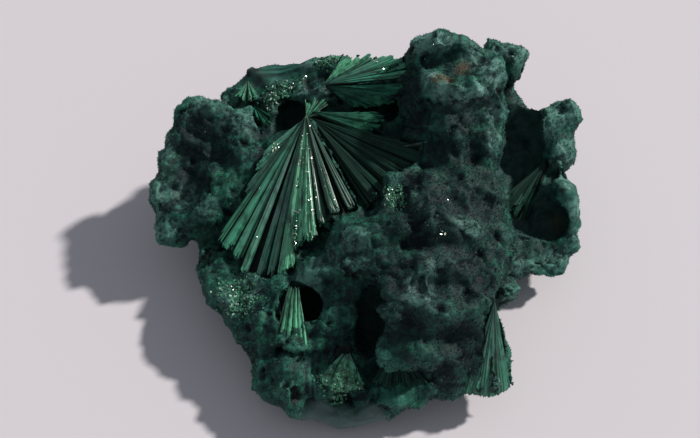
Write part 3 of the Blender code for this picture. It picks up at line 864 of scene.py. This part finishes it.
# Small tufts between the sprays. They are too small for the skin to give way to them.
TUFTS = {
    "edge_tuft": {
        "apex": (-6.3, 9.5, 15.4),
        "up": (-0.3, -0.4, 0.85),
        "ends": [(-10.2, 6.9, 13.2), (-11.3, 5.4, 12.1), (-12.2, 3.9, 11), (-13.2, 2.3, 10.2)],
    },
    "apex_tuft": {
        "apex": (-6.1, 9.7, 15.4),
        "up": (0, -0.3, 1),
        "ends": [(-6, 12, 16.6), (-5, 12, 16.6), (-4.2, 11.6, 16.2), (-3.4, 11.2, 15.9)],
    },
    "knob_tuft": {
        "apex": (-12.6, 16.4, 13.8),
        "up": (0, -0.6, 0.8),
        "ends": [(-14, 14.6, 12.7), (-12.9, 14.2, 12.7), (-11.6, 14.4, 12.8)],
    },
    "hollow_tuft": {
        "apex": (-12, 14, 12.6),
        "up": (0.3, -0.5, 0.8),
        "ends": [(-9.6, 12, 12.2), (-10.2, 11.2, 12.6), (-11, 10.9, 12.9)],
    },
    "foot_tuft": {
        "apex": (2.8, -12.6, 8.6),
        "up": (0, -0.8, 0.6),
        "ends": [
            (0.6, -15.6, 5.4), (1.9, -16, 5.1), (3.3, -16.2, 4.8), (4.8, -16.2, 4.4), (6.4, -15.6, 4.6),
        ],
    },
    "pale_needle": {
        "apex": (3.2, 6.4, 14.7),
        "up": (0, -0.2, 1),
        "ends": [(6.3, 6.4, 15.9), (6.4, 6.6, 15.9)],
    },
}
ROW_REACH = 0.3  # how far a spray's row of ends goes on past its first and last point
for name, spray in {**SPRAYS, **TUFTS}.items():
    ends = [Vector(end) * MM for end in spray["ends"]]
    ends.insert(0, ends[0] + (ends[0] - ends[1]).normalized() * ROW_REACH * MM)
    ends.append(ends[-1] + (ends[-1] - ends[-2]).normalized() * ROW_REACH * MM)
    mesh = bpy.data.meshes.new(name)
    mesh.from_pydata(ends, [(k, k + 1) for k in range(len(ends) - 1)], [])
    piece = new_piece(name, mesh)
    sizes = {
        "Narrow": 0.13 * MM, "Wide": 0.48 * MM, "Lift": 0.4 * MM, "Depth": 0.9 * MM, "Crown": 0.7 * MM,
        "Uneven": 0.07, "Fray": 0.06, "Roll": 0.45, "Pull": 0.16, "Head": 0.0, "shade": 0.0,
        "Apex": tuple(Vector(spray["apex"]) * MM), **FAN_SIZES[name],
    }
    # A spray in shade takes the less glossy shaded copy: painted shade.
    finish = finishes["dull_malachite" if sizes["shade"] > 0.3 else "silky_malachite"]
    grow(piece, fan, Shapes=blades, Up=spray["up"], Finish=finish, **sizes)
    across = np.empty(len(piece.data.vertices), np.float32)
    piece.data.attributes["across"].data.foreach_get("value", across)
    for label in ("glow", "dust_and_sheen", "dim"):
        share, middle, width = sizes.get(label, (0.0, 0.5, 1.0))
        mark(piece.data, label, share * np.clip(1 - ((across - middle) / width) ** 2, 0, 1))
    mark(piece.data, "shade", np.full(len(across), sizes["shade"]))
    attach(piece, "root")
    if name in SPRAYS or name == "edge_tuft":
        grown.append(piece)
for shape in list(blades.objects):
    bpy.data.objects.remove(shape)
bpy.data.collections.remove(blades)


# The crystal grains and the clean faces.
# Where nothing crowded them, the crystals ended in stout grains with flat clean faces. Some of
# those faces throw the sun back. Each is a six-sided plate, seated in what it grew on.
# Each row says how many, how far they stray, their least and greatest width, and where they lie.
CLEAN_FACES = [
    (70, 0.35, 0.06, 0.16, [(-6.3, 7.8, 15.2), (-7.2, 1.5, 11.8), (-8, -3.5, 9.4)]),
    (80, 0.5, 0.06, 0.17, [(-6.1, 7.5, 15.2), (-5.8, 3, 13.8), (-5.2, -1.5, 12.7)]),
    (24, 0.4, 0.08, 0.16, [(-5.6, 6, 14.8), (-4, 1.5, 13.8), (-2.8, -0.6, 13.2)]),
    (24, 0.35, 0.08, 0.2, [(-10.2, 6.6, 13), (-8.4, 7.6, 14.2)]),
    (26, 0.8, 0.12, 0.26, [(-3.6, -14.6, 6.5), (-2.4, -15, 6.3), (-1.8, -15.6, 5.8)]),
    (7, 0.25, 0.2, 0.36, [(-3, -15.2, 5.8), (-3.2, -15.1, 5.9)]),
    (18, 1.0, 0.1, 0.2, [(-14, -6, 7.8), (-11.9, -6.2, 8), (-13, -8, 7.6)]),
    (3, 0.2, 0.2, 0.32, [(-8.6, -12, 8.2), (-8.5, -12.1, 8.2)]),
    (4, 0.25, 0.16, 0.34, [(6.8, -4.6, 16), (7.3, -4.8, 15.9)]),
    (6, 0.4, 0.12, 0.26, [(4.4, 0, 16.6), (4.4, -1.5, 15.7)]),
    (8, 0.6, 0.1, 0.18, [(3, 0.4, 15.8), (1.6, -0.4, 16)]),
    (4, 0.4, 0.12, 0.24, [(6.5, 14, 22.2), (7.3, 13.3, 22.2)]),
    (10, 0.5, 0.08, 0.2, [(-5.2, 17.4, 14.5), (-9.5, 14.7, 13)]),
    (6, 0.4, 0.1, 0.2, [(4.5, 11.5, 18.4), (17, 18.6, 15.8)]),
    (8, 0.6, 0.1, 0.2, [(1.7, 13.5, 17.7), (0.4, 15.8, 17.9)]),
    (60, 16, 0.06, 0.14, [(-12, 2, 10), (12, 2, 12)]),
]
GRAINS = [
    (380, 1.1, 0.12, 0.42, [(-3.8, -14.8, 6.4), (-2.4, -15.2, 6.2), (-1.6, -15.8, 5.6)]),
    (280, 1.6, 0.08, 0.36, [(-14.2, -6, 7.7), (-11.9, -6.2, 8), (-12.6, -8.4, 7.5)]),
    (220, 1.0, 0.15, 0.35, [(-4.6, 18.2, 15.4), (-1.8, 18.2, 16.4)]),
    (160, 1.2, 0.15, 0.35, [(-10.2, 14.6, 13), (-8.4, 16, 13.4)]),
    (140, 1.0, 0.15, 0.32, [(2.6, 0.4, 16.2), (3.8, -0.8, 16.4)]),
]
LIGHT_WAY = Vector((0.438, -0.161, 0.885))  # a face turned this way throws the sun to the view
SEEK_HEIGHT = 2.5  # how far out along that way the surface is looked for
corners = []
sides = []
for piece in grown:
    first = len(corners)
    corners += [v.co.copy() for v in piece.data.vertices]
    sides += [[first + k for k in face.vertices] for face in piece.data.polygons]
outside = BVHTree.FromPolygons(corners, sides)

plates, given = new_tree(
    "plates_at_places", Facing="Vector", Tilt="Float", Thickness="Float", Seed="Int", Finish="Material"
)
plate = add(
    plates, "GeometryNodeMeshCylinder", {"Vertices": 6, "Radius": 0.5, "Depth": 1.0}, fill_type="NGON"
)
stray = add(
    plates, "FunctionNodeRandomValue", {"Min": (-1, -1, -1), "Max": (1, 1, 1), "Seed": given["Seed"]},
    data_type="FLOAT_VECTOR",
)
aim = add(plates, "ShaderNodeVectorMath", (stray, given["Tilt"]), operation="SCALE")
aim = add(plates, "ShaderNodeVectorMath", (given["Facing"], aim), operation="ADD")
turn = add(plates, "FunctionNodeAxesToRotation", (aim, stray), primary_axis="Z", secondary_axis="X")
width = add(plates, "GeometryNodeInputNamedAttribute", {"Name": "wide"}, data_type="FLOAT")
narrow = add(plates, "ShaderNodeMath", (width, 0.6), operation="MULTIPLY")
deep = add(plates, "ShaderNodeMath", (width, given["Thickness"]), operation="MULTIPLY")
size = add(plates, "ShaderNodeCombineXYZ", (width, narrow, deep))
points = add(plates, "GeometryNodeMeshToPoints", {"Mesh": given["Geometry"]})
laid = add(
    plates, "GeometryNodeInstanceOnPoints",
    {"Points": points, "Instance": plate, "Rotation": turn, "Scale": size},
)
whole = add(plates, "GeometryNodeRealizeInstances", {"Geometry": laid})
whole = add(plates, "GeometryNodeSetMaterial", {"Geometry": whole, "Material": given["Finish"]})
add(plates, "NodeGroupOutput", {"Geometry": whole})

# A clean face of malachite is as bright as glass of a high index, and its colour is painted pale in
# patches as a painted glint.
# The grains are of the silky green, and rougher.
for name, stuff, places, tilt, thickness, paler, rough in (
    ("clean_faces", "clean_malachite", CLEAN_FACES, 0.18, 0.5, "#a3b98c", 0.22),
    ("crystal_grains", "grained_malachite", GRAINS, 1.2, 0.8, "#4f9f7a", 0.5),
):
    crystal, tree, shader = new_material(stuff)
    where = add(tree, "ShaderNodeTexCoord").outputs["Object"]
    cloud = add(tree, "ShaderNodeTexNoise", {"Vector": where, "Scale": 1 / (0.5 * MM)})
    green = paint(tree, colour("#1d5a42"), {"cloud": cloud}, [("cloud", 0.4, 0.6, None, 0.8, paler)])
    tree.links.new(green, shader.inputs["Base Color"])
    shader.inputs["Roughness"].default_value = rough
    shader.inputs["IOR"].default_value = 1.85
    shader.inputs["Specular IOR Level"].default_value = 0.6
    rng = random.Random(8)
    seats = []
    wide = []
    for count, far, least, most, row in places:
        row = [Vector(point) * MM for point in row]
        for _ in range(count):
            share = rng.uniform(0, len(row) - 1)
            step = min(int(share), len(row) - 2)
            point = row[step].lerp(row[step + 1], share - step)
            point = point + Vector([rng.gauss(0, 0.5) * far * MM for _ in range(3)])
            spot = outside.ray_cast(point + LIGHT_WAY * SEEK_HEIGHT * MM, -LIGHT_WAY)[0]
            if spot is None or (spot - point).length > (SEEK_HEIGHT + far) * MM:
                spot = outside.find_nearest(point)[0]
            seats.append(spot)
            wide.append(rng.uniform(least, most) * MM)
    mesh = bpy.data.meshes.new(name)
    mesh.from_pydata(seats, [], [])
    mark(mesh, "wide", wide)
    piece = new_piece(name, mesh)
    grow(piece, plates, Facing=LIGHT_WAY, Tilt=tilt, Thickness=thickness, Seed=3, Finish=crystal)
    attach(piece, "root")


# The needles of the velvet.
# The lumps end in a pile of tiny crystals, finer than the eye can part. They are drawn as coarse as
# they need to be to show: spikes of three sides, up to a quarter of a millimetre long.
NEEDLES_PER_SQUARE_METRE = 8.2e6
FLOOR_GAP = 0.5  # height under which none grow
pile, given = new_tree(
    "velvet_pile",
    Per_square_metre="Float",
    Short="Float",
    Long="Float",
    Base="Float",
    Splay="Float",
    Seed="Int",
    Finish="Material",
)
grows = None
for name, most in (("under_spray", 0.35), ("calm", 0.2), ("lined", 0.6)):
    share = add(pile, "GeometryNodeInputNamedAttribute", {"Name": name}, data_type="FLOAT")
    bare = add(pile, "ShaderNodeMath", (share, most), operation="LESS_THAN")
    grows = add(pile, "ShaderNodeMath", (grows, bare), operation="MULTIPLY") if grows else bare
height = add(pile, "ShaderNodeSeparateXYZ", (add(pile, "GeometryNodeInputPosition"),)).outputs["Z"]
clear = add(pile, "ShaderNodeMath", (height, FLOOR_GAP * MM), operation="GREATER_THAN")
grows = add(pile, "ShaderNodeMath", (grows, clear), operation="MULTIPLY")
seats = add(
    pile, "GeometryNodeDistributePointsOnFaces",
    {
        "Mesh": given["Geometry"], "Selection": grows, "Density": given["Per_square_metre"],
        "Seed": given["Seed"],
    },
)
needle = add(
    pile, "GeometryNodeMeshCone",
    {"Vertices": 3, "Radius Top": 0.0, "Radius Bottom": 1.0, "Depth": 1.0}, fill_type="NGON",
)
tall = add(pile, "ShaderNodeSeparateXYZ", (add(pile, "GeometryNodeInputPosition"),)).outputs["Z"]
needle = add(
    pile, "GeometryNodeStoreNamedAttribute", {"Geometry": needle, "Name": "along", "Value": tall},
    data_type="FLOAT", domain="POINT",
)
stray = add(
    pile, "FunctionNodeRandomValue", {"Min": (-1, -1, -1), "Max": (1, 1, 1)}, data_type="FLOAT_VECTOR"
)
lean = add(pile, "ShaderNodeVectorMath", (stray, given["Splay"]), operation="SCALE")
aim = add(pile, "ShaderNodeVectorMath", (seats.outputs["Normal"], lean), operation="ADD")
turn = add(pile, "FunctionNodeAxesToRotation", (aim, stray), primary_axis="Z", secondary_axis="X")
lots = {}
for number, (name, low, high) in enumerate((("long", 0, 1), ("girth", 0.6, 1.3), ("tone", 0, 1))):
    seed = add(pile, "ShaderNodeMath", (given["Seed"], float(number * SEED_STEP + 1)), operation="ADD")
    lots[name] = add(
        pile, "FunctionNodeRandomValue", {"Min": float(low), "Max": float(high), "Seed": seed},
        data_type="FLOAT",
    )
long = add(
    pile, "ShaderNodeMapRange",
    {
        "Value": lots["long"], "From Min": 0.0, "From Max": 1.0, "To Min": given["Short"],
        "To Max": given["Long"],
    },
)
girth = add(pile, "ShaderNodeMath", (given["Base"], lots["girth"]), operation="MULTIPLY")
size = add(pile, "ShaderNodeCombineXYZ", (girth, girth, long))
laid = add(
    pile, "GeometryNodeInstanceOnPoints",
    {"Points": seats, "Instance": needle, "Rotation": turn, "Scale": size},
)
laid = add(
    pile, "GeometryNodeStoreNamedAttribute", {"Geometry": laid, "Name": "tone", "Value": lots["tone"]},
    data_type="FLOAT", domain="INSTANCE",
)
whole = add(pile, "GeometryNodeRealizeInstances", {"Geometry": laid})
whole = add(pile, "GeometryNodeSetMaterial", {"Geometry": whole, "Material": given["Finish"]})
add(pile, "NodeGroupOutput", {"Geometry": whole})

# The same velvet, with painted shade darkening each needle towards its base, and one in a few lighter
# all over.
needles, tree, shader = new_material("velvet_needles")
sources = {
    name: add(tree, "ShaderNodeAttribute", attribute_name=name).outputs["Fac"]
    for name in ("along", "tone")
}
green = paint(
    tree, velvet_colour(tree), sources,
    [("tone", 0.5, 1.0, None, 0.25, "#3f8a70"), ("along", 0.4, 0.0, None, 0.3, "#0a1f1b")],
)
tree.links.new(green, shader.inputs["Base Color"])
shader.inputs["Roughness"].default_value = 0.6
shader.inputs["IOR"].default_value = 1.65
shader.inputs["Specular IOR Level"].default_value = 0.2
for seed, name in enumerate(("velvet_pile_first", "velvet_pile_second")):
    piece = new_piece(name, skin.data.copy())
    grow(
        piece, pile, Per_square_metre=NEEDLES_PER_SQUARE_METRE, Short=0.08 * MM, Long=0.24 * MM,
        Base=0.05 * MM, Splay=0.7, Seed=seed, Finish=needles,
    )
    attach(piece, "root")


# The plain pale floor and the light.
# The sun stands at the right, a little behind the stone, and a pale sky fills the shadows.
mesh = bpy.data.meshes.new("floor")
mesh.from_pydata([(-1, -1, 0), (1, -1, 0), (1, 1, 0), (-1, 1, 0)], [], [(0, 1, 2, 3)])
floor = new_piece("floor", mesh)
card, tree, shader = new_material("pale_card")
shader.inputs["Base Color"].default_value = colour("#d6d0d6")
shader.inputs["Roughness"].default_value = 0.8
floor.data.materials.append(card)
key = bpy.data.lights.new("sun", "SUN")
key.energy = 3.6
key.color = (1.0, 0.97, 0.92)
key.angle = math.radians(3.5)
sun = bpy.data.objects.new("sun", key)
SUN_STANDS = Vector((1.05, 0.5, 1.0))  # the way from the stone to the sun
sun.rotation_euler = SUN_STANDS.to_track_quat("Z", "Y").to_euler()
bpy.context.scene.collection.objects.link(sun)
sky = bpy.data.worlds.new("sky")
sky.use_nodes = True
sky.node_tree.nodes["Background"].inputs["Color"].default_value = (0.86, 0.92, 1.0, 1)
sky.node_tree.nodes["Background"].inputs["Strength"].default_value = 0.28
bpy.context.scene.world = sky
bpy.context.scene.view_settings.view_transform = "Standard"
